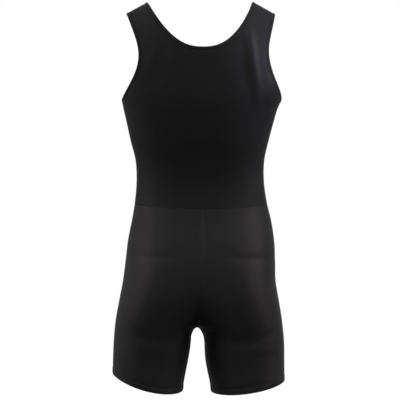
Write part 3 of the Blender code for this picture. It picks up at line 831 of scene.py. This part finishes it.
def knit_material(knit):
    """Stretch knit: fine ribs of loops, a soft gloss, and slight clouding where it is pulled tight."""
    material, tree, shader = new_material(knit.name)
    cloth = add(tree, "ShaderNodeUVMap", uv_map=CLOTH_MAP).outputs["UV"]
    split = add(tree, "ShaderNodeSeparateXYZ", links={0: cloth})
    turn = add(tree, "ShaderNodeMath", {1: np.pi / WALE}, {0: split.outputs["X"]}, operation="MULTIPLY")
    wave = add(tree, "ShaderNodeMath", links={0: turn.outputs[0]}, operation="SINE")
    rib = add(tree, "ShaderNodeMath", links={0: wave.outputs[0]}, operation="ABSOLUTE").outputs[0]
    lean = add(tree, "ShaderNodeMath", {1: LOOP_LEAN}, {0: rib}, operation="MULTIPLY").outputs[0]
    rise = {0: split.outputs["Y"], 2: lean}
    climb = add(tree, "ShaderNodeMath", {1: 2 * np.pi / COURSE}, rise, operation="MULTIPLY_ADD")
    loop = add(tree, "ShaderNodeMath", links={0: climb.outputs[0]}, operation="SINE").outputs[0]
    both = {0: loop, 2: rib}
    height = add(tree, "ShaderNodeMath", {1: LOOP_SHARE}, both, operation="MULTIPLY_ADD").outputs[0]
    bump_values = {"Strength": knit.bump, "Distance": KNIT_DEPTH}
    bump = add(tree, "ShaderNodeBump", bump_values, {"Height": height})
    place = {"Vector": cloth}
    clouds = add(tree, "ShaderNodeTexNoise", {"Scale": CLOUDS, "Detail": CLOUD_DETAIL}, place)
    fuzz = add(tree, "ShaderNodeTexNoise", {"Scale": FUZZ, "Detail": FUZZ_DETAIL}, place)
    noises = {0: fuzz.outputs["Fac"], 2: clouds.outputs["Fac"]}
    mixed = add(tree, "ShaderNodeMath", {1: FUZZ_SHARE}, noises, operation="MULTIPLY_ADD")
    low, high = CLOUD_RANGE
    spread = {"From Min": low, "From Max": high, "To Min": -1.0, "To Max": 1.0}
    change = add(tree, "ShaderNodeMapRange", spread, {"Value": mixed.outputs[0]}).outputs["Result"]
    shades = {1: TONE_CHANGE, 2: MIDDLE_TONE}
    share = add(tree, "ShaderNodeMath", shades, {0: change}, operation="MULTIPLY_ADD").outputs[0]
    tones = {6: linear(knit.valley), 7: linear(knit.crest)}
    colour = add(tree, "ShaderNodeMix", tones, {"Factor": share}, data_type="RGBA")
    rough = {1: ROUGHNESS_CHANGE, 2: knit.roughness}
    roughness = add(tree, "ShaderNodeMath", rough, {0: change}, operation="MULTIPLY_ADD")
    tree.links.new(colour.outputs[2], shader.inputs["Base Color"])
    tree.links.new(roughness.outputs[0], shader.inputs["Roughness"])
    tree.links.new(bump.outputs["Normal"], shader.inputs["Normal"])
    shader.inputs["IOR"].default_value = NYLON_IOR
    shader.inputs["Specular IOR Level"].default_value = knit.specular
    shader.inputs["Sheen Weight"].default_value = knit.sheen
    shader.inputs["Sheen Roughness"].default_value = SHEEN_ROUGHNESS
    return material


def thread_material():
    """Textured polyester thread, with its twist and a soft gloss. It is paler than the cloth: partly the
    thread's own grey, partly painted highlight for the light lines that its rows catch.
    """
    material, tree, shader = new_material("Black polyester sewing thread")
    place = add(tree, "ShaderNodeTexCoord").outputs["Object"]
    twist = {"Scale": 1 / THREAD_RADIUS, "Detail": THREAD_DETAIL}
    ply = add(tree, "ShaderNodeTexNoise", twist, {"Vector": place})
    # Both tones are paler than the cloth: partly the thread's own colour, partly painted highlight
    dark, pale = THREAD_TONES_AND_HIGHLIGHT
    tones = {6: linear(dark), 7: linear(pale)}
    colour = add(tree, "ShaderNodeMix", tones, {"Factor": ply.outputs["Fac"]}, data_type="RGBA")
    bump_values = {"Strength": THREAD_BUMP, "Distance": THREAD_RADIUS / 2}
    bump = add(tree, "ShaderNodeBump", bump_values, {"Height": ply.outputs["Fac"]})
    tree.links.new(colour.outputs[2], shader.inputs["Base Color"])
    tree.links.new(bump.outputs["Normal"], shader.inputs["Normal"])
    shader.inputs["IOR"].default_value = POLYESTER_IOR
    shader.inputs["Roughness"].default_value = THREAD_ROUGHNESS
    shader.inputs["Sheen Weight"].default_value = THREAD_SHEEN
    return material


def one_stitch(material):
    """One stitch of round thread along X, with one thin end and one blunt end.

    The new cylinder is still selected when its first end is extruded, so all of it is copied. The
    stitch is three quarters of STITCH_LENGTH long, and leftover faces lie inside it.
    """
    body = STITCH_LENGTH * STITCH_BODY
    reach = (STITCH_LENGTH - body) / 2
    deselect()
    along = {"depth": body, "rotation": (0, np.pi / 2, 0)}
    bpy.ops.mesh.primitive_cylinder_add(vertices=THREAD_SIDES, radius=THREAD_RADIUS, **along)
    stitch = bpy.context.object
    bpy.ops.object.transform_apply(location=False, rotation=True, scale=False)
    data = stitch.data
    for end in (-1, 1):
        for face in data.polygons:
            face.select = face.normal.x * end > END_FACING
        bpy.ops.object.mode_set(mode="EDIT")
        bpy.ops.mesh.select_mode(type="FACE")
        bpy.ops.mesh.extrude_region_move(TRANSFORM_OT_translate={"value": (end * reach, 0, 0)})
        bpy.ops.transform.resize(value=(1, STITCH_END, STITCH_END))
        bpy.ops.mesh.select_all(action="DESELECT")
        bpy.ops.object.mode_set(mode="OBJECT")
    for vertex in data.vertices:
        vertex.co.x += STITCH_PITCH / 2
    bpy.ops.object.shade_smooth()
    data.materials.append(material)
    return stitch


def stitched(stitch, name, lines):
    """A copy of the stitch repeated along each line of points, joined as one piece."""
    rows = []
    for line in lines:
        row = stitch.copy()
        row.data = stitch.data.copy()
        bpy.context.scene.collection.objects.link(row)
        length = lengths_along(line)[-1]
        count = max(int(length / STITCH_PITCH), 1)
        pitch = length / count
        path = bpy.data.curves.new("Seam line", "CURVE")
        path.dimensions = "3D"
        spline = path.splines.new("POLY")
        spline.points.add(len(line) - 1)
        spline.points.foreach_set("co", np.pad(line, ((0, 0), (0, 1))).ravel())
        guide = bpy.data.objects.new("Seam line", path)
        bpy.context.scene.collection.objects.link(guide)
        step = {"use_relative_offset": False, "use_constant_offset": True}
        finish_with(row, "ARRAY", count=count, constant_offset_displace=(pitch, 0, 0), **step)
        finish_with(row, "CURVE", object=guide, deform_axis="POS_X")
        bpy.data.objects.remove(guide)
        bpy.data.curves.remove(path)
        rows.append(row)
    deselect()
    for row in rows:
        row.select_set(True)
    bpy.context.view_layer.objects.active = rows[0]
    bpy.ops.object.join()
    rows[0].name = name
    return rows[0]


def line_beside(grid, distance):
    """The line over the cloth this far from a grid's first row, a little proud of it."""
    down = lengths_over(grid, 0)
    normals = outward(grid)
    line = []
    for column in range(grid.shape[1]):
        position = np.interp(distance, down[:, column], np.arange(len(grid)))
        point = at_positions(grid[:, column], [position])[0]
        line.append(point + at_positions(normals[:, column], [position])[0] * THREAD_PROUD)
    return np.array(line)


def dressed(piece, node):
    """The piece rides on the suit's one body and stands for its solid, which is hidden."""
    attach(piece, "root")
    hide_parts(node)


def sewn(piece):
    """Stitches ride on the suit's one body, like their cloth."""
    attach(piece, "root")
    return piece


def bodice(material, stitch):
    """Back and front, with the stitches beside their side seams and shoulder seams."""
    for face, name in ((BACK, "bodice_back"), (FRONT, "bodice_front")):
        halves = [half_bodice(side, face) for side in (LEFT, RIGHT)]
        piece = cloth_piece(f"{name}_cloth", halves, material, True)
        lines = []
        for grid, _ in halves:
            across = grid[:SIDE_SEAM_ROWS, ::-1].transpose(1, 0, 2)
            lines.append(line_beside(across, SEAM_STITCHES))
            lines.append(line_beside(grid[::-1], SEAM_STITCHES)[SHOULDER_TRIM:-SHOULDER_TRIM])
        rows = sewn(stitched(stitch, f"{name}_stitches", lines))
        dressed(piece, name)


def shorts(material, stitch):
    """Both legs, with the stitches below the waist seam and beside the centre seams and inseams."""
    for side, name in SIDE_NAMES.items():
        grid, cloth = shorts_leg(side)
        piece = cloth_piece(f"shorts_{name}_cloth", [(grid, cloth)], material, True)
        lines = [line_beside(grid, distance)[WAIST_TRIM:-WAIST_TRIM] for distance in WAIST_STITCHES]
        across = grid.transpose(1, 0, 2)
        lines.append(line_beside(across, SEAM_STITCHES)[WAIST_TRIM:-WAIST_TRIM])
        lines.append(line_beside(across[::-1], SEAM_STITCHES)[WAIST_TRIM:-WAIST_TRIM])
        rows = sewn(stitched(stitch, f"shorts_{name}_stitches", lines))
        dressed(piece, f"shorts_{name}")


def bindings(material, stitch):
    """A folded binding round the neck and each armhole, with the stitches that hold it."""
    openings = {"neck_binding": (neck_line, NECK_PARTS)}
    for side, name in SIDE_NAMES.items():
        openings[f"armhole_binding_{name}"] = (arm_line, ((side, BACK, True), (side, FRONT, False)))
    for name, (line, parts) in openings.items():
        lines = [opening_line(line, parts, *place) for place in BINDING_PROFILE]
        grid, cloth = rolled_strip(lines, BINDING_PROFILE)
        piece = cloth_piece(f"{name}_cloth", [(grid, cloth)], material, False)
        seams = [opening_line(line, parts, place, TRIM_PROUD) for place in NECK_STITCHES]
        rows = sewn(stitched(stitch, f"{name}_stitches", seams))
        dressed(piece, name)


def hems(material, stitch):
    """The turned hem of each leg, with its two rows of stitches."""
    for side, name in SIDE_NAMES.items():
        lines = [hem_line(side, *place) for place in HEM_PROFILE]
        grid, cloth = rolled_strip(lines, HEM_PROFILE)
        piece = cloth_piece(f"leg_hem_{name}_cloth", [(grid, cloth)], material, False)
        seams = [hem_line(side, rise, TRIM_PROUD) for rise in HEM_STITCHES]
        rows = sewn(stitched(stitch, f"leg_hem_{name}_stitches", seams))
        dressed(piece, f"leg_hem_{name}")


def light(spot):
    """A soft box on a ring round the suit, which it faces."""
    data = bpy.data.lights.new(spot.name, "AREA")
    data.shape = "RECTANGLE"
    data.size, data.size_y = spot.size
    data.spread = np.radians(spot.spread)
    data.energy = spot.watts
    data.color = linear(spot.colour)[:3]
    turn, height = np.radians((spot.turn, spot.height))
    away = Vector((np.sin(turn) * np.cos(height), -np.cos(turn) * np.cos(height), np.sin(height)))
    lamp = bpy.data.objects.new(spot.name, data)
    lamp.location = Vector(spot.aim) + away * LIGHT_DISTANCE
    lamp.rotation_euler = away.to_track_quat("Z", "Y").to_euler()
    lamp.visible_camera = False
    bpy.context.scene.collection.objects.link(lamp)


def surroundings():
    """White to the camera, as the photograph's ground is. As a light it is soft, and from above."""
    world = bpy.data.worlds.new("White studio")
    world.use_nodes = True
    tree = world.node_tree
    tree.nodes.clear()
    seen = add(tree, "ShaderNodeBackground", {"Color": (1, 1, 1, 1), "Strength": 1.0}).outputs[0]
    way = add(tree, "ShaderNodeTexCoord").outputs["Generated"]
    rise = add(tree, "ShaderNodeSeparateXYZ", links={0: way}).outputs["Z"]
    span = {"From Min": -1.0, "From Max": 1.0, "To Min": 0.0, "To Max": SKY}
    strength = add(tree, "ShaderNodeMapRange", span, {"Value": rise}).outputs["Result"]
    sky = add(tree, "ShaderNodeBackground", {"Color": linear(SKY_COLOUR)}, {"Strength": strength})
    straight = add(tree, "ShaderNodeLightPath").outputs["Is Camera Ray"]
    mix = add(tree, "ShaderNodeMixShader", links={0: straight, 1: sky.outputs[0], 2: seen})
    add(tree, "ShaderNodeOutputWorld", links={"Surface": mix.outputs[0]})
    bpy.context.scene.world = world


def camera():
    """Behind the suit and a little to its left, level with its middle, as the photograph was taken."""
    data = bpy.data.cameras.new("Camera")
    data.lens = LENS
    data.sensor_width = SENSOR
    data.shift_x, data.shift_y = SHIFT
    eye = bpy.data.objects.new("Camera", data)
    eye.location = CAMERA_PLACE
    eye.rotation_euler = (np.pi / 2, 0, CAMERA_TURN)
    bpy.context.scene.collection.objects.link(eye)
    bpy.context.scene.camera = eye


def main():
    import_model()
    bpy.context.scene.view_settings.view_transform = "Standard"
    stitch = one_stitch(thread_material())
    bodice(knit_material(BODICE_KNIT), stitch)
    shorts(knit_material(SHORTS_KNIT), stitch)
    bindings(knit_material(BINDING_KNIT), stitch)
    hems(knit_material(HEM_KNIT), stitch)
    bpy.data.objects.remove(stitch)
    surroundings()
    for spot in LIGHTS:
        light(spot)
    camera()


main()
